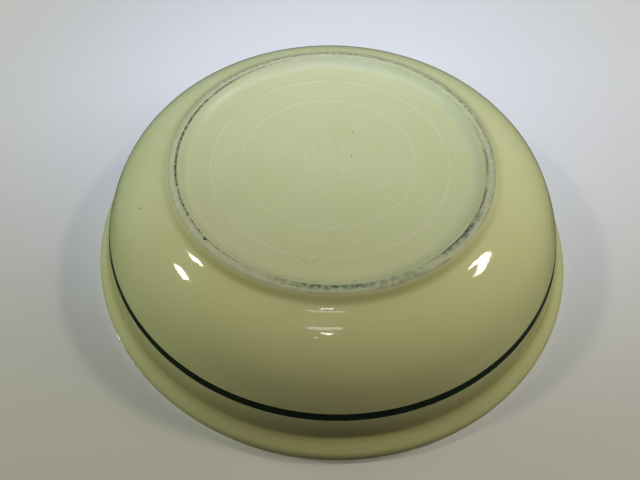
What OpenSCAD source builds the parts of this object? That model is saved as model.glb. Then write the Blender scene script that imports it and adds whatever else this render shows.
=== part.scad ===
// Low, broad serving bowl in thick glazed stoneware, standing on its foot ring.
// Millimetres. The origin is the centre of the resting face and +Z points out of the open bowl.
// The fired clay is one piece. Each coat of glaze and the painted band is a solid of its own.
//
// Every surface comes from an outline: a list of [radius, height, heading] points, where the
// heading is the direction of travel in degrees, 0 outwards and 90 up. The glazed surface is
// drawn first, and the clay lies one coat behind it, so clay and glaze always meet face to face.

/* [Overall size] */
// Widest diameter, across the rolled rim
bowl_d = 330; // [275:1:396]
// Height from the resting face to the top of the rim
bowl_h = 78; // [65:0.5:94]

/* [Foot ring] */
// Outer diameter of the bare resting face
foot_d = 198.2; // [165:0.2:238]
// Width of the bare resting face
foot_w = 4.2; // [3.5:0.1:6]
// Rounding between the bare face and the edge of the glaze
foot_edge = 0.25; // [0.2:0.05:0.6]
// Slope of the foot ring's outer side, in degrees
foot_slope = 38; // [34:1:42]
// Radius of the hollow channel between the foot ring and the wall
channel_r = 24; // [18:0.5:26]
// Height above the resting face at which the channel runs into the wall
channel_h = 6.1; // [5.5:0.1:8]

/* [Underside recess] */
// Depth of the recess inside the foot ring
recess_depth = 6; // [4.5:0.1:7.5]
// Width of the cove between the recess's flat middle and the foot ring
recess_cove_w = 8; // [6.5:0.1:10]
// Distance from the foot ring to the outer moulded ring, and from that ring to the inner one
ring_step = 20.2; // [16:0.1:25]
// Width of a moulded ring
ring_w = 3; // [1.6:0.1:4]
// Height of the moulded relief
relief_h = 0.2; // [0.15:0.05:0.5]
// Number of moulded beads between the two rings
bead_count = 48; // [12:1:60]
// Diameter of a moulded bead
bead_d = 4; // [2:0.1:5]
// Number of bosses around the middle boss of the moulded rosette
petal_count = 8; // [5:1:8]
// Diameter of a boss
petal_d = 9; // [6:0.1:11]
// Distance from the middle of the rosette to its outer bosses
petal_ring_r = 14; // [12:0.5:20]

/* [Wall] */
// Thickness of the wall at the throat under the rim
wall_t = 7; // [5.5:0.1:9]
// Thickness of the base over the recess
base_t = 7.5; // [6:0.1:10]
// How far the inner floor's edge lies inside the foot ring's outer edge
floor_inset = 2; // [0:0.5:10]
// Thickness of the glaze
coat = 0.4; // [0.3:0.05:0.6]

/* [Rolled rim] */
// How far the rim stands out beyond the throat
roll_w = 9.4; // [7.5:0.1:12]
// Slope of the rim's flare, in degrees
flare_slope = 40; // [30:1:50]
// Radius at the bottom of the throat
throat_r = 3.5; // [2.5:0.1:5]
// Radius between the flare and the widest line
roll_r = 7.5; // [5:0.1:10]
// Radius between the widest line and the top of the rim
lip_r = 4.5; // [3.5:0.1:6]

/* [Painted band] */
// Distance from the throat to the middle of the band, along the wall
band_from_throat = 18; // [12:0.1:25]
// Width of the band
band_w = 5.4; // [3:0.1:8]
// Depth of the band into the glaze
band_t = 0.15; // [0.1:0.01:0.2]

/* [Hidden] */
$fn = 180;

// Slope of the wall where it leaves the channel, and at the throat under the rim, in degrees
wall_slope = 13;
throat_slope = 76;
// Slope of the recess where it comes down to the foot ring
cove_slope = -68;
// Where two curves meet, how far the slope is past the straight line towards the end's slope
lean = 0.24;
// Largest turn between two points of an outline, in degrees
turn_step = 3;
// How far a bead or boss is set into the glaze
boss_sink = 0.1;

foot_r = foot_d / 2;
foot_in_r = foot_r - foot_w;
rim_r = bowl_d / 2;
widest_z = bowl_h - lip_r;
floor_r = foot_r - floor_inset;
floor_z = recess_depth + base_t;
outer_ring_r = foot_in_r - ring_step;
inner_ring_r = outer_ring_r - ring_step;

// ---------- outlines ----------

// An arc from point p, turning from heading a to heading b; a negative radius turns clockwise.
function arc(p, radius, a, b) =
    let (n = max(2, ceil(abs(b - a) / turn_step)))
    [for (i = [0:n])
        let (h = a + (b - a) * i / n)
        [p[0] + radius * (sin(h) - sin(a)), p[1] + radius * (cos(a) - cos(h)), h]];

// Two arcs that meet smoothly, from point p with the heading start to point q with the heading end.
function two_arcs(p, q, start, end) =
    let (
        d = [q[0] - p[0], q[1] - p[1]],
        straight = atan2(d[1], d[0]),
        mid = straight + lean * (end - straight),
        a = [sin(mid) - sin(start), cos(start) - cos(mid)],
        b = [sin(end) - sin(mid), cos(mid) - cos(end)],
        det = a[0] * b[1] - b[0] * a[1],
        first = arc(p, (d[0] * b[1] - b[0] * d[1]) / det, start, mid))
    concat(first, tail(arc(last(first), (a[0] * d[1] - d[0] * a[1]) / det, mid, end)));

function last(path) = path[len(path) - 1];
function tail(path) = [for (i = [1:len(path) - 1]) path[i]];
function reversed(path) = [for (i = [len(path) - 1:-1:0]) path[i]];

// The point reached after length l in direction h.
function ahead(p, l, h) = [p[0] + l * cos(h), p[1] + l * sin(h), h];

// The outline's points, moved d to the left of their headings.
function moved(path, d) = [for (p = path) [p[0] - d * sin(p[2]), p[1] + d * cos(p[2])]];

// Distance along the path to its point i.
function run(path, i) =
    i == 0 ? 0 : run(path, i - 1) + norm([path[i][0] - path[i - 1][0], path[i][1] - path[i - 1][1]]);

// The part of a path between the distances s and t along it.
function stretch(path, s, t) =
    let (
        runs = [for (i = [0:len(path) - 1]) run(path, i)],
        steps = [for (i = [0:len(path) - 2]) i],
        inner = [for (i = steps) if (runs[i] > s && runs[i] < t) path[i]])
    concat([point_at(path, runs, s)], inner, [point_at(path, runs, t)]);

function point_at(path, runs, s) =
    let (
        i = max([for (k = [0:len(path) - 2]) if (runs[k] <= s) k]),
        share = (s - runs[i]) / (runs[i + 1] - runs[i]))
    path[i] + (path[i + 1] - path[i]) * share;

// A moulded ring seen in section: a low rounded ridge at radius r, standing down from height z.
function ridge(r, z) =
    let (n = 8)
    [for (i = [0:n])
        let (turn = 360 * i / n)
        [r + ring_w * (i / n - 0.5),
         z - relief_h * (1 - cos(turn)) / 2,
         -atan(relief_h * PI / ring_w * sin(turn))]];

// Outside, from the edge of the bare foot, through the channel, to the throat under the rim.
coat_edge = [foot_r + foot_edge + coat * sin(foot_slope), foot_edge, foot_slope];
channel_rise = channel_r * (cos(wall_slope) - cos(foot_slope));
foot_side_l = (channel_h - channel_rise - foot_edge) / sin(foot_slope);
channel = arc(ahead(coat_edge, foot_side_l, foot_slope), -channel_r, foot_slope, wall_slope);

throat_rise = throat_r * (cos(flare_slope) - cos(throat_slope));
throat_run = throat_r * (sin(throat_slope) - sin(flare_slope));
roll_rise = roll_r * cos(flare_slope);
roll_run = roll_r * (1 - sin(flare_slope));
flare_l = (roll_w - throat_run - roll_run) / cos(flare_slope);
throat = [
    rim_r - roll_w,
    widest_z - throat_rise - flare_l * sin(flare_slope) - roll_rise,
    throat_slope];
wall = two_arcs(last(channel), throat, wall_slope, throat_slope);

// The band divides the wall into three.
wall_l = run(wall, len(wall) - 1);
band_ends = [wall_l - band_from_throat - band_w / 2, wall_l - band_from_throat + band_w / 2];
wall_below = stretch(wall, 0, band_ends[0]);
wall_band = stretch(wall, band_ends[0], band_ends[1]);
wall_above = stretch(wall, band_ends[1], wall_l);

// The rolled rim, from the throat over the widest line to the crest.
throat_turn = arc(throat, -throat_r, throat_slope, flare_slope);
flare_end = ahead(last(throat_turn), flare_l, flare_slope);
roll = arc(flare_end, roll_r, flare_slope, 90);
lip = arc(last(roll), lip_r, 90, 180);
rim = concat(tail(throat_turn), roll, tail(lip));
crest = last(rim);

foot_side = concat([coat_edge], channel);
outside = concat(foot_side, tail(wall_below), tail(wall_band), tail(wall_above), rim);

// Inside, from the middle of the floor up to the crest of the rim.
inner_throat = moved([throat], wall_t)[0];
inner_wall = two_arcs([floor_r, floor_z], inner_throat, 0, throat_slope);
inside = concat(
    [[0, floor_z, 0]],
    inner_wall,
    tail(two_arcs(inner_throat, crest, throat_slope, 0)));

// Underside recess, from its middle out to the bare face of the foot ring.
recess_edge = [foot_in_r - foot_edge - coat * sin(-cove_slope), foot_edge];
recess = concat(
    [[0, recess_depth, 0]],
    ridge(inner_ring_r, recess_depth),
    ridge(outer_ring_r, recess_depth),
    two_arcs([foot_in_r - recess_cove_w, recess_depth], recess_edge, 0, cove_slope));

// ---------- pieces ----------

// A skin of the given thickness, behind the outline on its left or, if negative, on its right.
module skin(path, thickness) {
    front = moved(path, 0);
    rotate_extrude()
        polygon(concat(front, reversed(moved(path, thickness))));
}

// The one fired piece: base, foot ring, wall and rolled rim.
module clay_body() {
    color("#c4bb98")
        rotate_extrude()
            polygon(concat(
                moved(recess, coat),
                [[foot_in_r, 0], [foot_r, 0]],
                moved(outside, coat),
                reversed(moved(inside, -coat))));
}

// Glaze from the edge of the bare foot up to the crest of the rim, with a seat for the band.
module outside_glaze() {
    front = concat(
        moved(concat(foot_side, tail(wall_below)), 0),
        moved(wall_band, band_t),
        moved(concat(wall_above, rim), 0));
    color("#d9d8a2")
        rotate_extrude()
            polygon(concat(front, reversed(moved(outside, coat))));
}

// Glaze from the crest of the rim over the whole inside.
module inside_glaze() {
    color("#dcdba8")
        skin(inside, -coat);
}

// Glaze on the underside, within the foot ring, with the moulded relief showing through it.
module recess_glaze() {
    color("#cfd0a0") {
        skin(recess, coat);
        boss_ring(bead_count, bead_d, (inner_ring_r + outer_ring_r) / 2);
        boss_ring(petal_count, petal_d, petal_ring_r);
        boss_ring(1, petal_d, 0);
    }
}

// A number of equal bosses, spaced evenly on a circle of radius r.
module boss_ring(count, d, r) {
    for (i = [0:count - 1])
        rotate(360 * i / count)
            translate([r, 0, recess_depth])
                boss(d);
}

// A low dome that stands down from the recess, with its base set into the glaze.
module boss(d) {
    dome_r = (pow(d / 2, 2) + pow(relief_h, 2)) / (2 * relief_h);
    half_turn = asin(d / 2 / dome_r);
    dome = [for (i = [0:4])
        let (a = half_turn * i / 4)
        [dome_r * sin(a), dome_r * (1 - cos(a)) - relief_h]];
    rotate_extrude($fn = 24)
        polygon(concat(dome, [[d / 2, boss_sink], [0, boss_sink]]));
}

// The painted line, flush with the glaze around the upper wall.
module green_band() {
    color("#1a2410")
        skin(wall_band, band_t);
}

clay_body();
outside_glaze();
inside_glaze();
recess_glaze();
green_band();
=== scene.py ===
"""Looks of a low, broad serving bowl in glazed stoneware with a painted green band.

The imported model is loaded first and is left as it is. Every surface of the bowl is then turned
about +Z from an outline, as on the potter's wheel, and stands for the CAD node of that surface.
Metres. The origin is the centre of the resting face and +Z points out of the open bowl.

An outline is a list of (radius, height, heading) points. The heading is the direction of travel,
0 outwards and a quarter turn upwards. The clay lies one coat behind the glazed surface.
"""

import math

import bmesh
import bpy
from bpy.props import FloatProperty, FloatVectorProperty, IntProperty, PointerProperty
from mathutils import Matrix, Vector


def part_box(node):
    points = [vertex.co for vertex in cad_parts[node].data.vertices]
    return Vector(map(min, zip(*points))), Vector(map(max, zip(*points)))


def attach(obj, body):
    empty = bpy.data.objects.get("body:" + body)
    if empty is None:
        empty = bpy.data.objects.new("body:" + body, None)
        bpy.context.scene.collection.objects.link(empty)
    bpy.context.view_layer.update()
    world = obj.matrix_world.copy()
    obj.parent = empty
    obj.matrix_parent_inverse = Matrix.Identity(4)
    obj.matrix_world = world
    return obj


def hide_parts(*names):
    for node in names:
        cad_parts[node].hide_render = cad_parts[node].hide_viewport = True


bl_info = {
    "name": "Banded serving bowl",
    "version": (1, 0, 0),
    "blender": (4, 5, 0),
    "location": "3D View > Sidebar > Bowl",
    "description": "A glazed stoneware serving bowl with a painted band, and a plain studio for it",
    "category": "Add Mesh",
}

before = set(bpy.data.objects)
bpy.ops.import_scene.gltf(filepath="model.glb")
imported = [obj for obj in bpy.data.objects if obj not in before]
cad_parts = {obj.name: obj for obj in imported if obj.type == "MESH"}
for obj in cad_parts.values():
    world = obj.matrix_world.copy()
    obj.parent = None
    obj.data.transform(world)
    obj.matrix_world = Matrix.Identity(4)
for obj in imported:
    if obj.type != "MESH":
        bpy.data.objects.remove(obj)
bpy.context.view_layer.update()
OUTSIDE_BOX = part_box("outside_glaze")
INSIDE_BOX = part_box("inside_glaze")
RECESS_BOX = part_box("recess_glaze")

MM = 0.001
TURN = 2 * math.pi


def linear(hex_colour):
    """An sRGB hex colour as linear red, green, blue and alpha."""
    parts = [int(hex_colour[i:i + 2], 16) / 255 for i in (1, 3, 5)]
    levels = [p / 12.92 if p <= 0.04045 else ((p + 0.055) / 1.055) ** 2.4 for p in parts]
    return (*levels, 1.0)


def length(name, description, default):
    """A size in metres that a user may change."""
    return FloatProperty(name=name, description=description, default=default, min=0.0,
                         precision=5, unit="LENGTH", subtype="DISTANCE")


def slope(name, description, degrees):
    """An angle that a user may change, with its default given in degrees."""
    return FloatProperty(name=name, description=description, default=math.radians(degrees),
                         unit="ROTATION", subtype="ANGLE")


def colour(name, description, hex_colour):
    """A colour that a user may change, with its default given in sRGB hex."""
    return FloatVectorProperty(name=name, description=description, default=linear(hex_colour),
                               size=4, min=0.0, max=1.0, subtype="COLOR")


COAT = 0.4 * MM
FOOT_EDGE = OUTSIDE_BOX[0].z


class BowlSizes(bpy.types.PropertyGroup):
    """Sizes of the bowl, in metres."""

    rim_radius: length("Rim radius", "Widest radius, across the rolled rim", OUTSIDE_BOX[1].x)
    height: length("Height", "From the resting face to the top of the rim", INSIDE_BOX[1].z)
    coat: length("Coat", "Thickness of the glaze", COAT)
    foot_inner: length("Foot, inner", "Inner radius of the bare face", RECESS_BOX[1].x + FOOT_EDGE)
    foot_width: length("Foot width", "Width of the bare resting face", 4.2 * MM)
    foot_edge: length("Foot edge", "Height of the glaze's edge above the resting face", FOOT_EDGE)
    foot_slope: slope("Foot slope", "Slope of the foot ring's outer side", 38)
    channel_radius: length("Channel radius", "Radius of the channel beside the foot", 24 * MM)
    channel_height: length("Channel height", "Where the channel runs into the wall", 6.1 * MM)
    recess_depth: length("Recess depth", "Depth of the underside recess", RECESS_BOX[1].z - COAT)
    cove_width: length("Cove width", "Width of the cove round the recess", 8 * MM)
    ring_step: length("Ring step", "From the foot to the outer moulded ring, and on", 20.2 * MM)
    ring_width: length("Ring width", "Width of a moulded ring", 3.0 * MM)
    relief: length("Relief", "Height of the moulded relief", 0.2 * MM)
    bead_count: IntProperty(name="Beads", description="Beads between the rings", default=48, min=12)
    bead_diameter: length("Bead diameter", "Diameter of a moulded bead", 4 * MM)
    petal_count: IntProperty(name="Petals", description="Bosses of the rosette", default=8, min=5)
    petal_diameter: length("Petal diameter", "Diameter of a boss of the rosette", 9 * MM)
    petal_ring: length("Petal ring", "From the middle of the rosette to its bosses", 14 * MM)
    wall: length("Wall", "Thickness of the wall at the throat", 7 * MM)
    base: length("Base", "Thickness of the base over the recess", 7.5 * MM)
    floor_inset: length("Floor inset", "The inner floor's edge within the foot's edge", 2 * MM)
    wall_slope: slope("Wall slope", "Slope of the wall where it leaves the channel", 13)
    throat_slope: slope("Throat slope", "Slope of the wall under the rim", 76)
    cove_slope: slope("Cove slope", "Slope of the recess where it reaches the foot", -68)
    roll: length("Roll", "How far the rim stands out beyond the throat", 9.4 * MM)
    flare_slope: slope("Flare slope", "Slope of the rim's flare", 40)
    throat_radius: length("Throat radius", "Radius at the bottom of the throat", 3.5 * MM)
    roll_radius: length("Roll radius", "Radius between the flare and the widest line", 7.5 * MM)
    lip_radius: length("Lip radius", "Radius between the widest line and the top", 4.5 * MM)
    band_drop: length("Band drop", "From the throat to the middle of the band", 18 * MM)
    band_width: length("Band width", "Width of the painted band", 5.4 * MM)
    band_depth: length("Band depth", "Depth of the band into the glaze", 0.15 * MM)

    @property
    def foot_outer(self):
        """Outer radius of the bare face."""
        return self.foot_inner + self.foot_width


class BowlSurface(bpy.types.PropertyGroup):
    """How far the hand-finished surfaces stray from a true turned shape."""

    segments: IntProperty(name="Segments", description="Divisions round the bowl",
                          default=480, min=96)
    wave: length("Wave", "Broad unevenness of the glazed surface", 0.035 * MM)
    wave_size: length("Wave size", "Distance from one swell to the next", 17 * MM)
    ragged: length("Ragged edge", "How far the glaze is worn back from the bare foot", 0.9 * MM)
    ragged_size: length("Ragged size", "Length of one bay in the worn edge", 7 * MM)
    brush: length("Brush wander", "How far the edges of the band wander", 0.14 * MM)
    brush_size: length("Brush size", "Length of one swing of the band's edge", 45 * MM)
    wear: length("Wear", "Depth of the pits and wear on the bare foot", 0.16 * MM)
    wear_size: length("Wear size", "Distance from one worn place to the next", 3.5 * MM)


class BowlColours(bpy.types.PropertyGroup):
    """Colours of the fired surfaces, and of the painted shade and light laid over some of them."""

    glaze: colour("Glaze", "Clear glaze over pale yellow slip", "#c7ca98")
    # Thinner glaze and painted light: laid on the crests of the moulded relief, so that the relief
    # shows lighter there.
    glaze_thin_and_painted_light: colour("Glaze, thin", "The glaze where it is drawn thin over relief", "#dadcb6")
    glaze_deep: colour("Glaze, deep", "The same glaze where it lies thicker", "#babb82")
    # Pooled glaze. On the outside it is also laid on as painted shade in the channel and the
    # throat.
    glaze_pool_and_painted_shade: colour("Glaze, pooled", "The glaze where it has run together", "#a1985a")
    glaze_cool: colour("Glaze, cool", "The glaze over the grey clay of the cove", "#bfc19f")
    # Painted shade: a warm tint laid over the front side of the outside glaze, towards the camera,
    # for the warm colour of the shade there.
    glaze_painted_warm_shade: colour("Glaze, warm", "The glaze on the side that fired warmer", "#d2ca88")
    speck: colour("Speck", "Iron specks and pinholes", "#3a3220")
    clay: colour("Clay", "Bare fired stoneware", "#c3c59c")
    clay_dark: colour("Clay, dark", "Pores in the bare stoneware", "#7d7c50")
    grime: colour("Grime", "Old dirt caught beside the glaze", "#26251a")
    stain: colour("Stain", "Green-grey stain on the foot", "#56684f")
    rust: colour("Rust", "Iron streak in the glaze by the foot", "#84452a")
    band: colour("Band", "Dark green underglaze paint", "#11260a")
    band_thin: colour("Band, thin", "The same paint where the brush left less", "#22381b")
    floor: colour("Floor", "Plain pale floor and backdrop", "#dcdcd8")


# ---------- outlines ----------

# Where two arcs meet, their heading leans from the straight line between their ends towards the
# last heading by this share.
LEAN = 0.24
# Steps round an arc, for the glaze that shows and for what lies hidden behind it.
FINE = math.radians(2.2)
PLAIN = math.radians(5)
# Radii at which the flat middle of the recess has a row, within the inner moulded ring.
MIDDLE_ROWS = (0.0, 0.02, 0.035, 0.047)
RIDGE_STEPS = 12


def arc(start, radius, a, b, step):
    """An arc from start, turning from heading a to b; a negative radius turns clockwise."""
    count = max(2, math.ceil(abs(b - a) / step))
    turns = [a + (b - a) * i / count for i in range(count + 1)]
    return [(start[0] + radius * (math.sin(h) - math.sin(a)),
             start[1] + radius * (math.cos(a) - math.cos(h)), h) for h in turns]


def two_arcs(p, q, start, end, step):
    """Two arcs that meet smoothly, from p with heading start to q with heading end."""
    across, up = q[0] - p[0], q[1] - p[1]
    straight = math.atan2(up, across)
    mid = straight + LEAN * (end - straight)
    a = (math.sin(mid) - math.sin(start), math.cos(start) - math.cos(mid))
    b = (math.sin(end) - math.sin(mid), math.cos(mid) - math.cos(end))
    det = a[0] * b[1] - b[0] * a[1]
    first = arc(p, (across * b[1] - b[0] * up) / det, start, mid, step)
    return first + arc(first[-1], (a[0] * up - a[1] * across) / det, mid, end, step)[1:]


def ahead(p, distance, heading):
    """The point reached from p in that direction."""
    return (p[0] + distance * math.cos(heading), p[1] + distance * math.sin(heading), heading)


def straight_line(p, distance, heading, count):
    """A straight stretch from p in count equal steps, without p itself."""
    return [ahead(p, distance * (i + 1) / count, heading) for i in range(count)]


def moved(p, shift):
    """The point p, moved to the left of its heading."""
    return (p[0] - shift * math.sin(p[2]), p[1] + shift * math.cos(p[2]), p[2])


def runs(path):
    """Distance along the path to each of its points."""
    total = [0.0]
    for p, q in zip(path, path[1:]):
        total.append(total[-1] + math.hypot(q[0] - p[0], q[1] - p[1]))
    return total


def point_at(path, distances, distance):
    """The point at that distance along the path."""
    i = max(k for k in range(len(path) - 1) if distances[k] <= distance)
    share = (distance - distances[i]) / (distances[i + 1] - distances[i])
    return tuple(u + (v - u) * share for u, v in zip(path[i], path[i + 1]))


def stretch(path, low, high):
    """The part of the path between two distances along it."""
    distances = runs(path)
    inner = [p for p, d in zip(path, distances) if low < d < high]
    return [point_at(path, distances, low)] + inner + [point_at(path, distances, high)]


def foot_side(s, step):
    """Outside, from the edge of the bare foot through the channel to the wall."""
    edge_r = s.foot_outer + s.foot_edge + s.coat * math.sin(s.foot_slope)
    edge = (edge_r, s.foot_edge, s.foot_slope)
    rise = s.channel_radius * (math.cos(s.wall_slope) - math.cos(s.foot_slope))
    side = (s.channel_height - rise - s.foot_edge) / math.sin(s.foot_slope)
    down = [edge] + straight_line(edge, side, s.foot_slope, 4)
    return down + arc(down[-1], -s.channel_radius, s.foot_slope, s.wall_slope, step)[1:]


def throat(s):
    """The point where the wall ends and the rim begins, and the length of the rim's flare."""
    rise = s.throat_radius * (math.cos(s.flare_slope) - math.cos(s.throat_slope))
    across = s.throat_radius * (math.sin(s.throat_slope) - math.sin(s.flare_slope))
    roll_rise = s.roll_radius * math.cos(s.flare_slope)
    roll_across = s.roll_radius * (1 - math.sin(s.flare_slope))
    flare = (s.roll - across - roll_across) / math.cos(s.flare_slope)
    z = s.height - s.lip_radius - rise - flare * math.sin(s.flare_slope) - roll_rise
    return (s.rim_radius - s.roll, z, s.throat_slope), flare


def wall_parts(s, step):
    """The wall from the channel to the throat: below the band, the band and above it."""
    foot = foot_side(s, step)[-1]
    whole = two_arcs(foot, throat(s)[0], s.wall_slope, s.throat_slope, step)
    total = runs(whole)[-1]
    low = total - s.band_drop - s.band_width / 2
    high = low + s.band_width
    return stretch(whole, 0.0, low), stretch(whole, low, high), stretch(whole, high, total)


def rim(s, step):
    """From the throat over the widest line to the crest of the rolled rim."""
    start, flare = throat(s)
    turn = arc(start, -s.throat_radius, s.throat_slope, s.flare_slope, step)
    out = turn + straight_line(turn[-1], flare, s.flare_slope, 3)
    roll = arc(out[-1], s.roll_radius, s.flare_slope, TURN / 4, step)
    lip = arc(roll[-1], s.lip_radius, TURN / 4, TURN / 2, step)
    return out + roll[1:] + lip[1:]


def outside(s, step):
    """The whole outside, from the bare foot to the crest."""
    below, band, above = wall_parts(s, step)
    return foot_side(s, step) + below[1:] + band[1:] + above[1:] + rim(s, step)[1:]


def inside(s, step):
    """The whole inside, from the middle of the floor to the crest."""
    edge_r = s.foot_outer - s.floor_inset
    floor_z = s.recess_depth + s.base
    inner = moved(throat(s)[0], s.wall)
    floor = [(edge_r * i / 6, floor_z, 0.0) for i in range(6)]
    up = two_arcs((edge_r, floor_z), inner, 0.0, s.throat_slope, step)
    return floor + up + two_arcs(inner, rim(s, step)[-1], s.throat_slope, 0.0, step)[1:]


def ridge(s, r):
    """A moulded ring in section: a low rounded ridge that stands down from the recess."""
    points = []
    for i in range(RIDGE_STEPS + 1):
        share = i / RIDGE_STEPS
        turn = TURN * share
        drop = s.relief * (1 - math.cos(turn)) / 2
        heading = -math.atan(s.relief * math.pi / s.ring_width * math.sin(turn))
        points.append((r + s.ring_width * (share - 0.5), s.recess_depth - drop, heading))
    return points


def recess(s, step):
    """The underside recess, from its middle to the bare face of the foot."""
    outer = s.foot_inner - s.ring_step
    start = (s.foot_inner - s.cove_width, s.recess_depth)
    edge = (s.foot_inner - s.foot_edge - s.coat * math.sin(-s.cove_slope), s.foot_edge)
    flat = [(r, s.recess_depth, 0.0) for r in MIDDLE_ROWS]
    rings = ridge(s, outer - s.ring_step) + [(outer - s.ring_step / 2, s.recess_depth, 0.0)]
    rings += ridge(s, outer) + [((outer + start[0]) / 2, s.recess_depth, 0.0)]
    return flat + rings + two_arcs(start, edge, 0.0, s.cove_slope, step)


# ---------- sections ----------

WEIGHTS = ("waves", "bare_edge", "band_low", "band_high", "worn")
# How far from an edge the surface strays with it, and how far from the foot it keeps true.
EDGE_REACH = 2.5 * MM
CALM_REACH = 5 * MM


def fade(distance, reach):
    """1 at the place itself, falling smoothly to 0 at the reach."""
    share = max(0.0, 1 - abs(distance) / reach)
    return share * share * (3 - 2 * share)


def section(path, shift=0.0, free_side=1, **weights):
    """Rows for the wheel: place, direction of travel, outward direction and what strays there.

    The shift and each weight are one number for the whole path, or a list with one for each point.
    free_side is 1 where the open air is on the right of the path, and -1 on the left.
    """
    def at(values, i):
        return values[i] if isinstance(values, list) else values

    rows = []
    for i, p in enumerate(path):
        r, z, heading = moved(p, at(shift, i))
        row = {"place": (r, 0.0, z),
               "travel": (math.cos(heading), 0.0, math.sin(heading)),
               "out": (free_side * math.sin(heading), 0.0, -free_side * math.cos(heading))}
        for name in WEIGHTS:
            row[name] = at(weights.get(name, 0.0), i)
        rows.append(row)
    return rows


def near(distances, place):
    """Weights for an edge at the place: 1 there, and none beyond its reach."""
    return [fade(d - place, EDGE_REACH) for d in distances]


def calm_near(distances, place):
    """Weights for the waves: none at the place, full a little way off."""
    return [1 - fade(d - place, CALM_REACH) for d in distances]


def section_object(name, rows):
    """The rows as an object of vertices and edges, with their values as attributes."""
    mesh = bpy.data.meshes.new(name)
    mesh.from_pydata([row["place"] for row in rows], [(i, i + 1) for i in range(len(rows) - 1)], [])
    for key in ("travel", "out"):
        values = mesh.attributes.new(key, "FLOAT_VECTOR", "POINT")
        values.data.foreach_set("vector", [part for row in rows for part in row[key]])
    for key in WEIGHTS:
        values = mesh.attributes.new(key, "FLOAT", "POINT")
        values.data.foreach_set("value", [row[key] for row in rows])
    piece = bpy.data.objects.new(name, mesh)
    bpy.context.scene.collection.objects.link(piece)
    return piece


# ---------- node trees ----------

# Two faces that meet at more than this are shaded with a crisp edge between them.
CRISP = math.radians(35)


def add(tree, kind, feeds=None, **settings):
    """Adds a node with its settings. Feeds are its inputs' values, or sockets to link to them."""
    node = tree.nodes.new(kind)
    for name, value in settings.items():
        setattr(node, name, value)
    for key, value in (feeds or {}).items():
        if isinstance(value, bpy.types.NodeSocket):
            tree.links.new(value, node.inputs[key])
        else:
            node.inputs[key].default_value = value
    return node


def new_tree(name, inputs):
    """A geometry tree with named inputs, and their sockets."""
    tree = bpy.data.node_groups.new(name, "GeometryNodeTree")
    for label, kind in inputs.items():
        tree.interface.new_socket(label, in_out="INPUT", socket_type="NodeSocket" + kind)
    tree.interface.new_socket("Geometry", in_out="OUTPUT", socket_type="NodeSocketGeometry")
    return tree, tree.nodes.new("NodeGroupInput").outputs


def end_tree(tree, geometry, material):
    """Ends the tree in plain geometry with the material on it."""
    real = add(tree, "GeometryNodeRealizeInstances", {"Geometry": geometry})
    finish = add(tree, "GeometryNodeSetMaterial",
                 {"Geometry": real.outputs[0], "Material": material})
    add(tree, "NodeGroupOutput", {0: finish.outputs[0]})
    return tree


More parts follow.
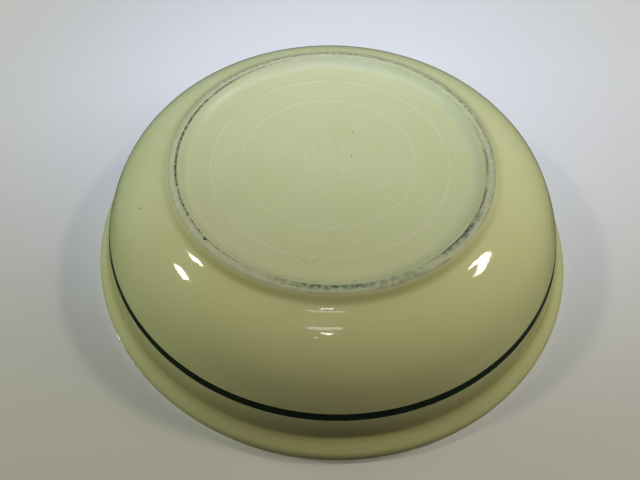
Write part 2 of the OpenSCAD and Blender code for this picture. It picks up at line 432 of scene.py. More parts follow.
def wheel_tree():
    """Turns an outline about +Z, and lets the turned surface stray as a hand-finished one does."""
    tree, given = new_tree("potters_wheel", {
        "Outline": "Geometry", "Segments": "Int", "Wave": "Float", "Wave Size": "Float",
        "Ragged": "Float", "Ragged Bays": "Float", "Brush": "Float", "Brush Swings": "Float",
        "Wear": "Float", "Wear Size": "Float", "Seed": "Float", "Material": "Material"})

    # A grid with one row for each point of the outline and one column for each place on the wheel.
    points = add(tree, "GeometryNodeAttributeDomainSize", {"Geometry": given["Outline"]})
    columns = add(tree, "ShaderNodeMath", {0: given["Segments"], 1: 1.0}, operation="ADD")
    grid = add(tree, "GeometryNodeMeshGrid",
               {"Vertices X": points.outputs["Point Count"], "Vertices Y": columns.outputs[0]})
    index = add(tree, "GeometryNodeInputIndex")
    ratio = add(tree, "ShaderNodeMath", {0: index.outputs[0], 1: columns.outputs[0]},
                operation="DIVIDE")
    row = add(tree, "ShaderNodeMath", {0: ratio.outputs[0]}, operation="FLOOR")
    column = add(tree, "ShaderNodeMath", {0: index.outputs[0], 1: columns.outputs[0]},
                 operation="MODULO")
    share = add(tree, "ShaderNodeMath", {0: column.outputs[0], 1: given["Segments"]},
                operation="DIVIDE")
    angle = add(tree, "ShaderNodeMath", {0: share.outputs[0], 1: TURN}, operation="MULTIPLY")

    def of_outline(kind, value):
        """A value of the outline's point in this row."""
        sample = add(tree, "GeometryNodeSampleIndex",
                     {"Geometry": given["Outline"], "Index": row.outputs[0]},
                     data_type=kind, domain="POINT")
        socket = next(s for s in sample.inputs if s.name == "Value" and s.enabled)
        tree.links.new(value, socket)
        return next(s for s in sample.outputs if s.enabled)

    def attribute(kind, name):
        """An attribute of the outline's point in this row."""
        named = add(tree, "GeometryNodeInputNamedAttribute", {"Name": name}, data_type=kind)
        return of_outline(kind, next(s for s in named.outputs if s.enabled))

    def turned(vector):
        """The vector, turned with this column."""
        return add(tree, "ShaderNodeVectorRotate", {"Vector": vector, "Angle": angle.outputs[0]},
                   rotation_type="Z_AXIS").outputs[0]

    place = turned(of_outline("FLOAT_VECTOR", add(tree, "GeometryNodeInputPosition").outputs[0]))
    travel = turned(attribute("FLOAT_VECTOR", "travel"))
    outward = turned(attribute("FLOAT_VECTOR", "out"))
    spoke = turned((1.0, 0.0, 0.0))

    def stray(weight, amount, coordinates, frequency, seed_step, detail, centre):
        """A weighted distance from seeded noise, between -centre and 1 - centre of the amount."""
        at = add(tree, "ShaderNodeVectorMath", {0: coordinates, "Scale": frequency},
                 operation="SCALE")
        seed = add(tree, "ShaderNodeMath", {0: given["Seed"], 1: seed_step}, operation="ADD")
        noise = add(tree, "ShaderNodeTexNoise",
                    {"Vector": at.outputs[0], "W": seed.outputs[0], "Scale": 1.0,
                     "Detail": detail, "Roughness": 0.6}, noise_dimensions="4D")
        level = add(tree, "ShaderNodeMapRange",
                    {"Value": noise.outputs[0], "From Min": 0.25, "From Max": 0.75,
                     "To Min": -centre, "To Max": 1 - centre})
        scaled = add(tree, "ShaderNodeMath", {0: level.outputs[0], 1: amount},
                     operation="MULTIPLY")
        return add(tree, "ShaderNodeMath", {0: scaled.outputs[0], 1: attribute("FLOAT", weight)},
                   operation="MULTIPLY").outputs[0]

    def inverse(socket):
        """One over the value."""
        return add(tree, "ShaderNodeMath", {0: 1.0, 1: socket}, operation="DIVIDE").outputs[0]

    def total(values):
        """The sum of the values."""
        result = values[0]
        for value in values[1:]:
            result = add(tree, "ShaderNodeMath", {0: result, 1: value}, operation="ADD").outputs[0]
        return result

    # Last come the step of the seed, the noise's detail and the centre.
    along = total([
        stray("bare_edge", given["Ragged"], spoke, given["Ragged Bays"], 1.0, 4.0, 0.0),
        stray("band_low", given["Brush"], spoke, given["Brush Swings"], 2.0, 3.0, 0.5),
        stray("band_high", given["Brush"], spoke, given["Brush Swings"], 3.0, 3.0, 0.5)])
    across = total([
        stray("waves", given["Wave"], place, inverse(given["Wave Size"]), 4.0, 2.0, 0.5),
        stray("worn", given["Wear"], place, inverse(given["Wear Size"]), 5.0, 4.0, 1.0)])
    for direction, distance in ((travel, along), (outward, across)):
        offset = add(tree, "ShaderNodeVectorMath", {0: direction, "Scale": distance},
                     operation="SCALE")
        place = add(tree, "ShaderNodeVectorMath", {0: place, 1: offset.outputs[0]},
                    operation="ADD").outputs[0]

    shaped = add(tree, "GeometryNodeSetPosition",
                 {"Geometry": grid.outputs["Mesh"], "Position": place})
    # The last column meets the first, and the rows at the middle shrink to one point.
    closed = add(tree, "GeometryNodeMergeByDistance",
                 {"Geometry": shaped.outputs[0], "Distance": 0.002 * MM})
    return end_tree(tree, closed.outputs[0], given["Material"])


def boss_tree():
    """Equal low domes, evenly spaced on a circle, standing down from the recess."""
    tree, given = new_tree("moulded_bosses", {
        "Geometry": "Geometry", "Count": "Int", "Ring Radius": "Float", "Boss Radius": "Float",
        "Relief": "Float", "Depth": "Float", "Sink": "Float", "Material": "Material"})

    # The dome: rings of a cone, given the height of a raised cosine, so that its edge lies flat.
    cone = add(tree, "GeometryNodeMeshCone",
               {"Vertices": 24, "Side Segments": 7, "Radius Top": 0.0,
                "Radius Bottom": given["Boss Radius"], "Depth": 1.0}, fill_type="NGON")
    parts = add(tree, "ShaderNodeSeparateXYZ",
                {0: add(tree, "GeometryNodeInputPosition").outputs[0]})
    angle = add(tree, "ShaderNodeMath", {0: parts.outputs["Z"], 1: math.pi}, operation="MULTIPLY")
    cosine = add(tree, "ShaderNodeMath", {0: angle.outputs[0]}, operation="COSINE")
    level = add(tree, "ShaderNodeMapRange",
                {"Value": cosine.outputs[0], "From Min": -1.0, "From Max": 1.0,
                 "To Min": given["Relief"], "To Max": 0.0})
    # Its rim, which is the cone's lowest ring, goes a little way into the glaze.
    base = add(tree, "ShaderNodeMath", {0: parts.outputs["Z"], 1: 0.01}, operation="LESS_THAN")
    sink = add(tree, "ShaderNodeMath", {0: base.outputs[0], 1: given["Sink"]}, operation="MULTIPLY")
    height = add(tree, "ShaderNodeMath", {0: sink.outputs[0], 1: level.outputs[0]},
                 operation="SUBTRACT")
    z = add(tree, "ShaderNodeMath", {0: height.outputs[0], 1: given["Depth"]}, operation="ADD")
    mirrored = add(tree, "ShaderNodeMath", {0: parts.outputs["Y"], 1: -1.0}, operation="MULTIPLY")
    turned = add(tree, "ShaderNodeCombineXYZ",
                 {"X": parts.outputs["X"], "Y": mirrored.outputs[0], "Z": z.outputs[0]})
    dome = add(tree, "GeometryNodeSetPosition",
               {"Geometry": cone.outputs["Mesh"], "Position": turned.outputs[0]})

    index = add(tree, "GeometryNodeInputIndex")
    share = add(tree, "ShaderNodeMath", {0: index.outputs[0], 1: given["Count"]},
                operation="DIVIDE")
    turn = add(tree, "ShaderNodeMath", {0: share.outputs[0], 1: TURN}, operation="MULTIPLY")
    arm = add(tree, "ShaderNodeCombineXYZ", {"X": given["Ring Radius"]})
    spot = add(tree, "ShaderNodeVectorRotate",
               {"Vector": arm.outputs[0], "Angle": turn.outputs[0]}, rotation_type="Z_AXIS")
    spots = add(tree, "GeometryNodePoints",
                {"Count": given["Count"], "Position": spot.outputs[0]})
    placed = add(tree, "GeometryNodeInstanceOnPoints",
                 {"Points": spots.outputs[0], "Instance": dome.outputs[0]})
    return end_tree(tree, placed.outputs[0], given["Material"])


def run_tree(piece, tree, values):
    """Runs the tree on the piece with these inputs, and keeps the result as its plain mesh."""
    modifier = piece.modifiers.new(tree.name, "NODES")
    modifier.node_group = tree
    sockets = {item.name: item.identifier for item in tree.interface.items_tree
               if item.in_out == "INPUT"}
    for name, value in values.items():
        modifier[sockets[name]] = value
    graph = bpy.context.evaluated_depsgraph_get()
    made = bpy.data.meshes.new_from_object(piece.evaluated_get(graph), depsgraph=graph)
    piece.modifiers.remove(modifier)
    made.name = piece.name
    piece.data = made
    face_outwards(piece)
    made.shade_smooth()
    made.set_sharp_from_angle(angle=CRISP)
    return piece


def face_outwards(piece):
    """Turns the faces of a closed piece outwards, and raises an error if it isn't closed."""
    solid = bmesh.new()
    solid.from_mesh(piece.data)
    bmesh.ops.recalc_face_normals(solid, faces=solid.faces)
    if any(not edge.is_manifold for edge in solid.edges):
        raise RuntimeError(f"{piece.name} has open edges")
    if solid.calc_volume(signed=True) < 0:
        bmesh.ops.reverse_faces(solid, faces=solid.faces)
    solid.to_mesh(piece.data)
    solid.free()


def turn_on_wheel(name, rows, material, seed):
    """A closed piece, turned about +Z from the rows of its section."""
    stray = bpy.context.scene.bowl_surface
    sizes = bpy.context.scene.bowl_sizes
    tree = bpy.data.node_groups.get("potters_wheel") or wheel_tree()
    return run_tree(section_object(name, rows), tree, {
        "Segments": stray.segments, "Wave": stray.wave, "Wave Size": stray.wave_size,
        "Ragged": stray.ragged, "Ragged Bays": sizes.foot_outer / stray.ragged_size,
        "Brush": stray.brush, "Brush Swings": sizes.rim_radius / stray.brush_size,
        "Wear": stray.wear, "Wear Size": stray.wear_size,
        "Seed": seed, "Material": material})


# ---------- materials ----------

def empty_tree(owner):
    """The node tree of a material or world, with nothing in it."""
    owner.use_nodes = True
    owner.node_tree.nodes.clear()
    return owner.node_tree


def new_material(name):
    """A material with a Principled shader, and the coordinates that its patterns follow."""
    material = bpy.data.materials.new(name)
    tree = empty_tree(material)
    shader = add(tree, "ShaderNodeBsdfPrincipled")
    add(tree, "ShaderNodeOutputMaterial", {"Surface": shader.outputs[0]})
    place = add(tree, "ShaderNodeTexCoord").outputs["Object"]
    flat = add(tree, "ShaderNodeVectorMath", {0: place, 1: (1.0, 1.0, 0.0)}, operation="MULTIPLY")
    radius = add(tree, "ShaderNodeVectorMath", {0: flat.outputs[0]}, operation="LENGTH")
    return material, tree, shader, place, radius.outputs["Value"]


def patches(tree, place, size, detail=3.0, gaps=0.3, full=0.7):
    """Uneven patches about that size across, from 0 in the gaps to 1 where they are full."""
    cloud = add(tree, "ShaderNodeTexNoise",
                {"Vector": place, "Scale": 1 / size, "Detail": detail, "Roughness": 0.55})
    return add(tree, "ShaderNodeMapRange",
               {"Value": cloud.outputs[0], "From Min": gaps, "From Max": full}).outputs[0]


def specks(tree, place, cell, speck_radius):
    """Scattered round specks with soft edges, about one in each cell of that size."""
    cells = add(tree, "ShaderNodeTexVoronoi", {"Vector": place, "Scale": 1 / cell})
    return add(tree, "ShaderNodeMapRange",
               {"Value": cells.outputs["Distance"], "From Min": speck_radius / cell * 0.6,
                "From Max": speck_radius / cell, "To Min": 1.0, "To Max": 0.0}).outputs[0]


def about_circle(tree, radius, centre, reach):
    """1 on a circle about +Z, falling softly to 0 at the reach on both sides of it."""
    offset = add(tree, "ShaderNodeMath", {0: radius, 1: centre}, operation="SUBTRACT")
    gap = add(tree, "ShaderNodeMath", {0: offset.outputs[0]}, operation="ABSOLUTE")
    return add(tree, "ShaderNodeMapRange",
               {"Value": gap.outputs[0], "From Min": 0.0, "From Max": reach,
                "To Min": 1.0, "To Max": 0.0}, interpolation_type="SMOOTHSTEP").outputs[0]


def bearing_way(bearing):
    """The level direction at that bearing, in degrees from +Y towards +X."""
    return (math.sin(math.radians(bearing)), math.cos(math.radians(bearing)), 0.0)


def on_side(tree, place, bearing, spread):
    """1 on the side of the bowl at that bearing, falling softly to 0 at the spread in degrees."""
    flat = add(tree, "ShaderNodeVectorMath", {0: place, 1: (1.0, 1.0, 0.0)}, operation="MULTIPLY")
    spoke = add(tree, "ShaderNodeVectorMath", {0: flat.outputs[0]}, operation="NORMALIZE")
    facing = add(tree, "ShaderNodeVectorMath", {0: spoke.outputs[0], 1: bearing_way(bearing)},
                 operation="DOT_PRODUCT")
    return add(tree, "ShaderNodeMapRange",
               {"Value": facing.outputs["Value"], "From Min": math.cos(math.radians(spread)),
                "From Max": 1.0}, interpolation_type="SMOOTHSTEP").outputs[0]


def flaw(tree, place, bearing, distance, half_length, half_width, slant=0.0):
    """1 in one long soft spot, which lies along the wheel's turn but for the slant in degrees."""
    way = bearing_way(bearing)
    local = add(tree, "ShaderNodeMapping",
                {"Vector": place, "Location": (distance * way[0], distance * way[1], 0.0),
                 "Rotation": (0.0, 0.0, math.radians(slant - bearing)),
                 "Scale": (half_length, half_width, 1.0)}, vector_type="TEXTURE")
    gap = add(tree, "ShaderNodeVectorMath", {0: local.outputs[0]}, operation="LENGTH")
    return add(tree, "ShaderNodeMapRange",
               {"Value": gap.outputs["Value"], "From Min": 0.5, "From Max": 1.0,
                "To Min": 1.0, "To Max": 0.0}).outputs[0]


def wheel_lines(tree, place, radius, spacing):
    """Fine lines left by the wheel, the same all the way round, from 0 to 1."""
    parts = add(tree, "ShaderNodeSeparateXYZ", {0: place})
    line = add(tree, "ShaderNodeCombineXYZ", {"X": radius, "Y": parts.outputs["Z"]})
    return patches(tree, line.outputs[0], spacing, detail=2.0)


def washed(tree, base, washes):
    """The base colour under washes of (colour, strength, patterns that it is held to)."""
    for wash, strength, *patterns in washes:
        share = strength
        for pattern in patterns:
            share = add(tree, "ShaderNodeMath", {0: pattern, 1: share},
                        operation="MULTIPLY").outputs[0]
        base = add(tree, "ShaderNodeMix", {0: share, 6: base, 7: wash},
                   data_type="RGBA").outputs[2]
    return base


def roughened(tree, shader, heights):
    """Raises the shaded surface by the sum of (height in metres, pattern)."""
    total = 0.0
    for height, pattern in heights:
        total = add(tree, "ShaderNodeMath", {0: pattern, 1: height, 2: total},
                    operation="MULTIPLY_ADD").outputs[0]
    relief = add(tree, "ShaderNodeBump", {"Height": total, "Distance": 1.0})
    tree.links.new(relief.outputs[0], shader.inputs["Normal"])


def glaze(name, make_washes, pinholes=(), satin=0.04):
    """Clear glossy glaze over pale yellow slip, poured on and fired.

    It gives the eye a deep glassy shine with crisp lamp reflections, a warm cream that goes ochre
    where the glaze pooled and where shade is painted into the outside's channel and throat, faint
    clouds, a few iron specks and the lines of the wheel beneath.
    make_washes takes the tree, the coordinates and the radius, and gives this piece's own washes.
    Pinholes are (bearing, distance from +Z), and satin is the roughness of its glassiest parts.
    """
    shades = bpy.context.scene.bowl_colours
    material, tree, shader, place, radius = new_material(name)
    # Clouds of 45 mm where the coat is thicker, and of 7 mm in the slip beneath it.
    cloud = patches(tree, place, 45 * MM)
    mottle = patches(tree, place, 7 * MM, detail=5.0)
    # Iron specks up to 0.7 mm across, one in every 20 mm cube that the surface crosses.
    speck = specks(tree, place, 20 * MM, 0.35 * MM)
    washes = [(shades.glaze_deep, 0.35, cloud), (shades.glaze_deep, 0.20, mottle)]
    washes += make_washes(tree, place, radius)
    washes += [(shades.speck, 0.7, speck)]
    washes += [(shades.speck, 0.9, flaw(tree, place, bearing, distance, 0.8 * MM, 0.7 * MM))
               for bearing, distance in pinholes]
    tree.links.new(washed(tree, shades.glaze, washes), shader.inputs["Base Color"])
    gloss = add(tree, "ShaderNodeMapRange",
                {"Value": mottle, "To Min": satin, "To Max": satin + 0.04})
    tree.links.new(gloss.outputs[0], shader.inputs["Roughness"])
    shader.inputs["IOR"].default_value = 1.52
    # Wheel lines of 2.5 mm and an orange-peel ripple of 6 mm, some microns deep.
    roughened(tree, shader, [(0.005 * MM, wheel_lines(tree, place, radius, 2.5 * MM)),
                             (0.020 * MM, patches(tree, place, 6 * MM, detail=1.0)),
                             (-0.1 * MM, speck)])
    return material


def bare_stoneware(name):
    """Unglazed fired stoneware, wiped clean of glaze and worn by standing on tables.

    It gives the eye a dull pale grey, open pores, old grime in broken dark lines along its edges
    and a green-grey stain that comes and goes.
    """
    shades = bpy.context.scene.bowl_colours
    sizes = bpy.context.scene.bowl_sizes
    material, tree, shader, place, radius = new_material(name)
    grain = patches(tree, place, 1.6 * MM, detail=4.0)
    blotch = patches(tree, place, 7 * MM, detail=5.0)
    pores = specks(tree, place, 2.6 * MM, 0.5 * MM)
    # The stain is mottled in 3 mm flecks, and lies in three places along one side of the foot.
    fleck = patches(tree, place, 3 * MM, detail=4.0, gaps=0.34, full=0.58)
    # The grime is drawn 1.2 mm wide, which is as fine as shows, and is broken every 10 to 20 mm.
    broken = patches(tree, place, 13 * MM, detail=6.0, gaps=0.40, full=0.54)
    inner_edge = about_circle(tree, radius, sizes.foot_inner + 0.4 * MM, 1.2 * MM)
    outer_edge = about_circle(tree, radius, sizes.foot_outer - 0.4 * MM, 1.7 * MM)
    inner_part = about_circle(tree, radius, sizes.foot_inner + 1.2 * MM, 3.0 * MM)
    washes = [
        (shades.clay_dark, 0.22, grain),
        (shades.clay_dark, 0.22, blotch),
        (shades.grime, 0.25, pores, blotch),
        (shades.stain, 1.00, fleck, inner_part, on_side(tree, place, 1, 22)),
        (shades.stain, 0.45, fleck, on_side(tree, place, 25, 12)),
        (shades.stain, 1.00, fleck, inner_part, on_side(tree, place, 52, 15)),
        (shades.grime, 0.25, grain, fleck, on_side(tree, place, 80, 35)),
        (shades.grime, 0.55, inner_edge, broken, on_side(tree, place, -100, 40)),
        (shades.grime, 1.00, inner_edge, fleck, on_side(tree, place, -92, 85)),
        (shades.grime, 0.90, outer_edge, fleck, on_side(tree, place, 170, 120)),
        (shades.grime, 0.70, inner_edge, broken, on_side(tree, place, 70, 45)),
        (shades.grime, 1.00, flaw(tree, place, -43, sizes.foot_inner + 1.3 * MM,
                                  1.5 * MM, 1.0 * MM)),
    ]
    tree.links.new(washed(tree, shades.clay, washes), shader.inputs["Base Color"])
    shader.inputs["Roughness"].default_value = 0.85
    shader.inputs["IOR"].default_value = 1.5
    roughened(tree, shader, [(0.05 * MM, grain), (-0.1 * MM, pores)])
    return material


def green_underglaze(name):
    """Dark green underglaze paint, laid on with a brush on the turning bowl and glazed over.

    It gives the eye a near-black green with the same wet shine as the glaze around it, a little
    thinner and greener along its very edges and in long faint streaks.
    """
    shades = bpy.context.scene.bowl_colours
    material, tree, shader, place, radius = new_material(name)
    low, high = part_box("green_band")
    parts = add(tree, "ShaderNodeSeparateXYZ", {0: place})
    height = add(tree, "ShaderNodeMapRange",
                 {"Value": parts.outputs["Z"], "From Min": low.z, "From Max": high.z,
                  "To Min": -1.0, "To Max": 1.0})
    from_middle = add(tree, "ShaderNodeMath", {0: height.outputs[0]}, operation="ABSOLUTE")
    edge = add(tree, "ShaderNodeMapRange",
               {"Value": from_middle.outputs[0], "From Min": 0.75, "From Max": 1.0})
    # Brush streaks 0.6 mm wide that run round the bowl, thicker and thinner over 30 mm.
    streak = wheel_lines(tree, place, radius, 0.6 * MM)
    brushful = patches(tree, place, 30 * MM)
    washes = [(shades.band_thin, 0.35, streak, brushful),
              (shades.band_thin, 0.55, edge.outputs[0])]
    tree.links.new(washed(tree, shades.band, washes), shader.inputs["Base Color"])
    shader.inputs["Roughness"].default_value = 0.06
    shader.inputs["IOR"].default_value = 1.52
    roughened(tree, shader, [(0.003 * MM, streak)])
    return material


# ---------- operators ----------

def hand_over(piece, slot, *nodes):
    """The piece moves with the one body and stands for those nodes, which it hides. The slot is not
    used.
    """
    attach(piece, "root")
    if nodes:
        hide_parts(*nodes)


class BOWL_OT_stoneware_body(bpy.types.Operator):
    """Turn the fired clay body, with its bare and worn foot ring"""

    bl_idname = "bowl.stoneware_body"
    bl_label = "Stoneware body"

    def execute(self, context):
        s = context.scene.bowl_sizes
        under, out, up = recess(s, PLAIN), outside(s, PLAIN), inside(s, PLAIN)
        under_runs, out_runs = runs(under), runs(out)
        rows = section(under, s.coat, waves=calm_near(under_runs, under_runs[-1]))
        # The resting face: flat, with softly worn edges, in steps a third of a millimetre wide.
        steps = 14
        worn_off, worn_width = 0.175 * MM, 0.9 * MM
        face = []
        for i in range(steps + 1):
            r = s.foot_inner + s.foot_width * i / steps
            from_edge = min(r - s.foot_inner, s.foot_outer - r)
            face.append((r, worn_off * fade(from_edge, worn_width), 0.0))
        rows += section(face, worn=1.0)
        rows += section(out, s.coat, waves=calm_near(out_runs, 0.0))
        rows += section(up, -s.coat, free_side=-1, waves=1.0)[::-1]
        piece = turn_on_wheel("stoneware_body", rows, bare_stoneware("bare_fired_stoneware"), 1.0)
        hand_over(piece, "bare_stoneware", "clay_body")
        return {"FINISHED"}


class BOWL_OT_outside_glaze(bpy.types.Operator):
    """Turn the glaze of the outside, from the foot to the crest of the rim"""

    bl_idname = "bowl.outside_glaze"
    bl_label = "Outside glaze"

    def execute(self, context):
        s = context.scene.bowl_sizes
        below, band, above = wall_parts(s, FINE)
        foot = foot_side(s, FINE)
        path = foot + below[1:] + band + above + rim(s, FINE)[1:]
        seat_start = len(foot) + len(below) - 1
        seated = range(seat_start, seat_start + len(band))
        shifts = [s.band_depth if i in seated else 0.0 for i in range(len(path))]
        along = runs(path)
        low, high = along[seat_start], along[seat_start + len(band) - 1]
        rows = section(path, shifts, waves=calm_near(along, 0.0), bare_edge=near(along, 0.0),
                       band_low=near(along, low), band_high=near(along, high))
        back = outside(s, PLAIN)
        back_runs = runs(back)
        rows += section(back, s.coat, waves=calm_near(back_runs, 0.0),
                        bare_edge=near(back_runs, 0.0))[::-1]
        material = glaze("glossy_slip_glaze_outside", self.washes, pinholes=[(-68.5, 120.7 * MM)])
        piece = turn_on_wheel("outside_glaze_coat", rows + rows[:1], material, 2.0)
        hand_over(piece, "outside_glaze", "outside_glaze")
        return {"FINISHED"}

    def washes(self, tree, place, radius):
        """Painted warm shade on one side, pooled glaze with painted shade by the foot and in the
        throat, and iron drawn out by the foot.
        """
        s, shades = bpy.context.scene.bowl_sizes, bpy.context.scene.bowl_colours
        channel = about_circle(tree, radius, s.foot_outer + 3.4 * MM, 3.8 * MM)
        edge = about_circle(tree, radius, s.foot_outer + 0.5 * MM, 0.9 * MM)
        broken = patches(tree, place, 15 * MM, detail=4.0, gaps=0.42, full=0.58)
        return [
            # Painted warm shade over the front side of the outside glaze.
            (shades.glaze_painted_warm_shade, 0.5, on_side(tree, place, 15, 125)),
            (shades.glaze_cool, 0.6, about_circle(tree, radius, s.foot_outer, 3.0 * MM)),
            # Pooled glaze in the channel all round, and painted shade in the channel on the front
            # side.
            (shades.glaze_pool_and_painted_shade, 0.15, channel),
            (shades.glaze_pool_and_painted_shade, 0.70, channel, on_side(tree, place, 0, 85)),
            (shades.rust, 0.55, edge, broken, on_side(tree, place, 10, 80)),
            # Painted shade in the crease of the throat, over a little pooled glaze.
            (shades.glaze_pool_and_painted_shade, 0.60, about_circle(tree, radius, throat(s)[0][0], 4.5 * MM)),
            (shades.rust, 0.80, flaw(tree, place, 40, s.foot_outer + 0.8 * MM, 4.2 * MM,
                                     0.5 * MM)),
            (shades.rust, 0.6, edge, specks(tree, place, 3.2 * MM, 0.6 * MM),
             on_side(tree, place, 58, 26)),
        ]


class BOWL_OT_inside_glaze(bpy.types.Operator):
    """Turn the glaze of the inside, from the crest of the rim over the floor"""

    bl_idname = "bowl.inside_glaze"
    bl_label = "Inside glaze"

    def execute(self, context):
        s = context.scene.bowl_sizes
        front, back = inside(s, FINE), inside(s, PLAIN)
        rows = section(back, -s.coat, free_side=-1, waves=1.0)
        rows += section(front, free_side=-1, waves=1.0)[::-1]
        floor_r = s.foot_outer - s.floor_inset
        material = glaze("glossy_slip_glaze_inside", lambda tree, place, radius: [
            (context.scene.bowl_colours.glaze_pool_and_painted_shade, 0.22,
             about_circle(tree, radius, floor_r, 16 * MM))])
        piece = turn_on_wheel("inside_glaze_coat", rows, material, 3.0)
        hand_over(piece, "inside_glaze", "inside_glaze")
        return {"FINISHED"}


class BOWL_OT_recess_glaze(bpy.types.Operator):
    """Turn the glaze of the underside recess, with its two moulded rings"""

    bl_idname = "bowl.recess_glaze"
    bl_label = "Recess glaze"

    def execute(self, context):
        s = context.scene.bowl_sizes
        front, back = recess(s, FINE), recess(s, PLAIN)
        rows = []
        for path, shift in ((front, 0.0), (back, s.coat)):
            along = runs(path)
            part = section(path, shift, waves=calm_near(along, along[-1]),
                           bare_edge=[-weight for weight in near(along, along[-1])])
            rows += part if shift == 0.0 else part[::-1]
        material = glaze("glossy_slip_glaze_recess", self.washes,
                         pinholes=[(146.7, 27.8 * MM), (96.7, 14.9 * MM)], satin=0.28)
        piece = turn_on_wheel("recess_glaze_coat", rows, material, 4.0)
        hand_over(piece, "recess_glaze", "recess_glaze")
        return {"FINISHED"}

    def washes(self, tree, place, radius):
        """Glaze drawn thin over the relief with painted light on its crests, grey clay on the cove,
        and one fine check.
        """
        s, shades = bpy.context.scene.bowl_sizes, bpy.context.scene.bowl_colours
        cove = about_circle(tree, radius, s.foot_inner - 3.2 * MM, 5.6 * MM)
        parts = add(tree, "ShaderNodeSeparateXYZ", {0: place})
        crest = add(tree, "ShaderNodeMapRange",
                    {"Value": parts.outputs["Z"], "From Min": s.recess_depth - s.relief,
                     "From Max": s.recess_depth - 0.2 * s.relief, "To Min": 1.0, "To Max": 0.0})
        flat_part = add(tree, "ShaderNodeMapRange",
                        {"Value": radius, "From Min": s.foot_inner - 13 * MM,
                         "From Max": s.foot_inner - 11 * MM, "To Min": 1.0, "To Max": 0.0})
        return [
            # Painted light on the crests of the relief, over glaze drawn thin there.
            (shades.glaze_thin_and_painted_light, 0.22, crest.outputs[0], flat_part.outputs[0]),
            (shades.glaze_cool, 0.40, cove),
            (shades.glaze_pool_and_painted_shade, 0.28, flaw(tree, place, -7.5, 77.7 * MM, 5.5 * MM, 0.8 * MM, 27)),
            (shades.glaze_pool_and_painted_shade, 0.28, flaw(tree, place, -2, 76.1 * MM, 5.5 * MM, 0.8 * MM, -48)),
        ]


class BOWL_OT_recess_relief(bpy.types.Operator):
    """Set out the moulded beads and the rosette of the underside recess"""

    bl_idname = "bowl.recess_relief"
    bl_label = "Recess relief"

    def execute(self, context):
        s = context.scene.bowl_sizes
        tree = bpy.data.node_groups.get("moulded_bosses") or boss_tree()
        material = bpy.data.materials["glossy_slip_glaze_recess"]
        bead_ring = s.foot_inner - 1.5 * s.ring_step
        for name, count, ring, diameter in (
                ("recess_beads", s.bead_count, bead_ring, s.bead_diameter),
                ("rosette_petals", s.petal_count, s.petal_ring, s.petal_diameter),
                ("rosette_middle", 1, 0.0, s.petal_diameter)):
            piece = section_object(name, section([(ring, s.recess_depth, 0.0)]))
            run_tree(piece, tree, {
                "Count": count, "Ring Radius": ring, "Boss Radius": diameter / 2,
                "Relief": s.relief, "Depth": s.recess_depth, "Sink": 0.1 * MM,
                "Material": material})
            hand_over(piece, "recess_glaze")
        return {"FINISHED"}


class BOWL_OT_green_band(bpy.types.Operator):
    """Turn the painted green band of the upper wall"""

    bl_idname = "bowl.green_band"
    bl_label = "Green band"

    def execute(self, context):
        s = context.scene.bowl_sizes
        band = wall_parts(s, FINE)[1]
        along = runs(band)
        rows = []
        for shift in (0.0, s.band_depth):
            part = section(band, shift, waves=1.0, band_low=near(along, 0.0),
                           band_high=near(along, along[-1]))
            rows += part if shift == 0.0 else part[::-1]
        piece = turn_on_wheel("green_band_paint", rows + rows[:1],
                              green_underglaze("dark_green_underglaze"), 2.0)
        hand_over(piece, "green_underglaze", "green_band")
        return {"FINISHED"}


def set_out(name, mesh, material):
    """Makes the mesh an object of the scene, which only the camera sees."""
    data = bpy.data.meshes.new(name)
    mesh.to_mesh(data)
    mesh.free()
    data.materials.append(material)
    piece = bpy.data.objects.new(name, data)
    bpy.context.scene.collection.objects.link(piece)
    for ray in ("diffuse", "glossy", "transmission", "shadow"):
        setattr(piece, "visible_" + ray, False)


def sheet(name, z, faces_up, slant, material):
    """A round sheet of floor at height z, flat below the bowl, and with that slant around it."""
    radii = (0.17, 0.3, 0.6, 1.2, 3.0, 8.0)
    count = 96
    mesh = bmesh.new()
    circles = []
    for r in radii:
        level = z + slant * (r - radii[0])
        circles.append([mesh.verts.new((r * math.cos(TURN * k / count),
                                        r * math.sin(TURN * k / count), level))
                        for k in range(count)])
    mesh.faces.new(circles[0])
    for inner, outer in zip(circles, circles[1:]):
        for k in range(count):
            mesh.faces.new((inner[k], outer[k], outer[(k + 1) % count], inner[(k + 1) % count]))
    if not faces_up:
        bmesh.ops.reverse_faces(mesh, faces=mesh.faces)
    set_out(name, mesh, material)


def paper(name, shade):
    """Plain matt paper, which glows of itself further out, and is clear when seen from behind."""
    material = bpy.data.materials.new(name)
    tree = empty_tree(material)
    place = add(tree, "ShaderNodeTexCoord").outputs["Object"]
    radius = add(tree, "ShaderNodeVectorMath", {0: place}, operation="LENGTH")
    far = add(tree, "ShaderNodeMapRange",
              {"Value": radius.outputs["Value"], "From Min": 0.25, "From Max": 0.85},
              interpolation_type="SMOOTHSTEP")
    matt = add(tree, "ShaderNodeBsdfDiffuse", {"Color": shade})
    glow = add(tree, "ShaderNodeEmission", {"Color": shade})
    front = add(tree, "ShaderNodeMixShader",
                {0: far.outputs[0], 1: matt.outputs[0], 2: glow.outputs[0]})
    clear = add(tree, "ShaderNodeBsdfTransparent")
    behind = add(tree, "ShaderNodeNewGeometry").outputs["Backfacing"]
    both = add(tree, "ShaderNodeMixShader", {0: behind, 1: front.outputs[0], 2: clear.outputs[0]})
    add(tree, "ShaderNodeOutputMaterial", {"Surface": both.outputs[0]})
    return material


def backdrop(shade):
    """A plain pale dome far behind everything, seen by the camera alone."""
    mesh = bmesh.new()
    bmesh.ops.create_uvsphere(mesh, u_segments=48, v_segments=24, radius=9.0)
    material = bpy.data.materials.new("plain_backdrop")
    tree = empty_tree(material)
    glow = add(tree, "ShaderNodeEmission", {"Color": shade})
    add(tree, "ShaderNodeOutputMaterial", {"Surface": glow.outputs[0]})
    set_out("backdrop", mesh, material)


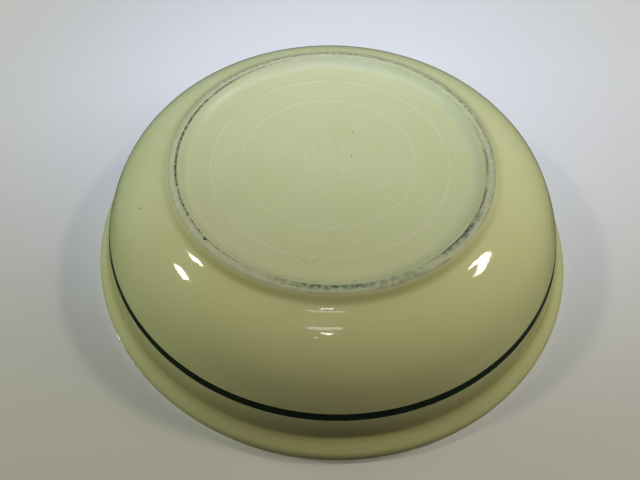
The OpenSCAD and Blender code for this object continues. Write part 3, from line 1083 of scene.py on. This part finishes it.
def lamp(name, bearing, elevation, distance, across, tall, radiance, tint="#ffffff",
         aim=(0.0, 0.0, 0.0), spread=180, mirrored=True):
    """A soft rectangular lamp aimed at a point.

    The bearing is in degrees from +Y towards +X, and the elevation is above the horizon, or below
    it if negative. The radiance is in watts for each square metre and steradian, and the spread is
    that of the grid on the lamp. A lamp that isn't mirrored doesn't show in the glaze.
    """
    data = bpy.data.lights.new(name, "AREA")
    data.shape = "RECTANGLE"
    data.size, data.size_y = across, tall
    data.spread = math.radians(spread)
    data.color = linear(tint)[:3]
    # A one-sided area lamp of power P has the radiance P / (pi * area).
    data.energy = radiance * math.pi * across * tall
    level = math.cos(math.radians(elevation))
    way = Vector(bearing_way(bearing)) * level
    way.z = math.sin(math.radians(elevation))
    holder = bpy.data.objects.new(name, data)
    bpy.context.scene.collection.objects.link(holder)
    place = Vector(aim) + way * distance
    turn = way.to_track_quat("Z", "Y").to_matrix().to_4x4()
    holder.matrix_world = Matrix.Translation(place) @ turn
    holder.visible_camera = False
    holder.visible_glossy = mirrored


class BOWL_OT_stage(bpy.types.Operator):
    """Set out the pale floor, the backdrop, the soft lamps and the camera"""

    bl_idname = "bowl.stage"
    bl_label = "Studio"

    def execute(self, context):
        scene = context.scene
        s = scene.bowl_sizes
        shade = scene.bowl_colours.floor
        # The bowl stands on one sheet, and turned over it rests its rim on the other. Each is
        # seen only from the bowl's side.
        sheet("floor_under_foot", 0.0, True, 0.0, paper("matt_paper_floor", shade))
        sheet("floor_under_rim", s.height, False, -0.05, paper("matt_paper_rim", shade))
        backdrop(shade)
        self.light(scene)
        self.aim_camera(scene)
        scene.view_settings.view_transform = "Standard"
        return {"FINISHED"}

    def light(self, scene):
        """Soft lamps on both sides, under and over the bowl, and a dim room around them."""
        daylight, sunny, mild, cool = "#e8ffee", "#fff7dc", "#fff2e0", "#cfdaff"
        # Bearing, elevation, distance, width, height and radiance. The first ten are below the
        # horizon, for the view of the underside.
        lamp("left_softbox", -90, -9, 1.0, 0.62, 0.26, 5.5, daylight, mirrored=False)
        lamp("right_softbox", 108, -9, 1.0, 0.62, 0.26, 3.5, daylight, mirrored=False)
        lamp("right_fill", 90, -30, 1.0, 0.4, 0.4, 3.6, mild, mirrored=False)
        lamp("front_fill", 0, -30, 1.0, 0.4, 0.4, 0.35, sunny, mirrored=False)
        lamp("gridded_softbox", 0, -56, 0.6, 0.5, 0.2, 2.5, cool, aim=(0.0, -0.2, 0.0),
             spread=67, mirrored=False)
        lamp("left_window", -86, -45.5, 1.2, 0.14, 0.09, 64, sunny)
        lamp("right_window", 104, -46, 1.2, 0.16, 0.08, 62, sunny)
        lamp("front_strip", 5, -69.5, 1.1, 0.22, 0.05, 5)
        lamp("front_lamp", 6, -63.7, 1.2, 0.08, 0.035, 28)
        lamp("front_bulb", -0.5, -58.2, 1.2, 0.02, 0.02, 28)
        # Above the horizon, for the view into the bowl.
        lamp("overhead_softbox", 150, 76, 1.1, 0.8, 0.8, 4.2, mirrored=False)
        lamp("overhead_key", -120, 62, 1.3, 0.2, 0.2, 24)

        scene.world = bpy.data.worlds.new("dim_room")
        tree = empty_tree(scene.world)
        way = add(tree, "ShaderNodeTexCoord").outputs["Generated"]
        parts = add(tree, "ShaderNodeSeparateXYZ", {0: way})
        tilt = add(tree, "ShaderNodeMath", {0: parts.outputs["Z"]}, operation="ABSOLUTE")
        level = add(tree, "ShaderNodeMapRange",
                    {"Value": tilt.outputs[0], "To Min": 0.03, "To Max": 0.06})
        sky = add(tree, "ShaderNodeBackground", {"Strength": level.outputs[0]})
        add(tree, "ShaderNodeOutputWorld", {"Surface": sky.outputs[0]})

    def aim_camera(self, scene):
        """The camera, which looks up at the underside of the bowl from close by."""
        data = bpy.data.cameras.new("camera")
        data.lens = 28.125
        data.shift_x = 0.067
        # The camera's own right, up and back, and then where it stands.
        right = Vector((0.994395, -0.094509, 0.047405))
        up = Vector((-0.051515, -0.824605, -0.563358))
        back = Vector((0.092333, 0.557758, -0.824852))
        stand = Vector((0.0, 0.22186, -0.22653))
        turn = Matrix((right, up, back)).transposed().to_4x4()
        holder = bpy.data.objects.new("camera", data)
        holder.matrix_world = Matrix.Translation(stand) @ turn
        scene.collection.objects.link(holder)
        scene.camera = holder


PIECES = (BOWL_OT_stoneware_body, BOWL_OT_outside_glaze, BOWL_OT_inside_glaze,
          BOWL_OT_recess_glaze, BOWL_OT_recess_relief, BOWL_OT_green_band, BOWL_OT_stage)


class BOWL_PT_sidebar(bpy.types.Panel):
    """The bowl's pieces and sizes"""

    bl_idname = "BOWL_PT_sidebar"
    bl_label = "Serving bowl"
    bl_space_type = "VIEW_3D"
    bl_region_type = "UI"
    bl_category = "Bowl"

    def draw(self, context):
        layout = self.layout
        for operator in PIECES:
            layout.operator(operator.bl_idname)
        for group in (context.scene.bowl_sizes, context.scene.bowl_surface,
                      context.scene.bowl_colours):
            column = layout.column()
            for name in group.__annotations__:
                column.prop(group, name)


CLASSES = (BowlSizes, BowlSurface, BowlColours, *PIECES, BOWL_PT_sidebar)
GROUPS = {"bowl_sizes": BowlSizes, "bowl_surface": BowlSurface, "bowl_colours": BowlColours}


def register():
    for cls in CLASSES:
        bpy.utils.register_class(cls)
    for name, group in GROUPS.items():
        setattr(bpy.types.Scene, name, PointerProperty(type=group))


def unregister():
    for name in GROUPS:
        delattr(bpy.types.Scene, name)
    for cls in reversed(CLASSES):
        bpy.utils.unregister_class(cls)


def main():
    """Builds every piece and the stage."""
    register()
    bpy.ops.bowl.stoneware_body()
    bpy.ops.bowl.outside_glaze()
    bpy.ops.bowl.inside_glaze()
    bpy.ops.bowl.recess_glaze()
    bpy.ops.bowl.recess_relief()
    bpy.ops.bowl.green_band()
    bpy.ops.bowl.stage()


if __name__ == "__main__":
    main()
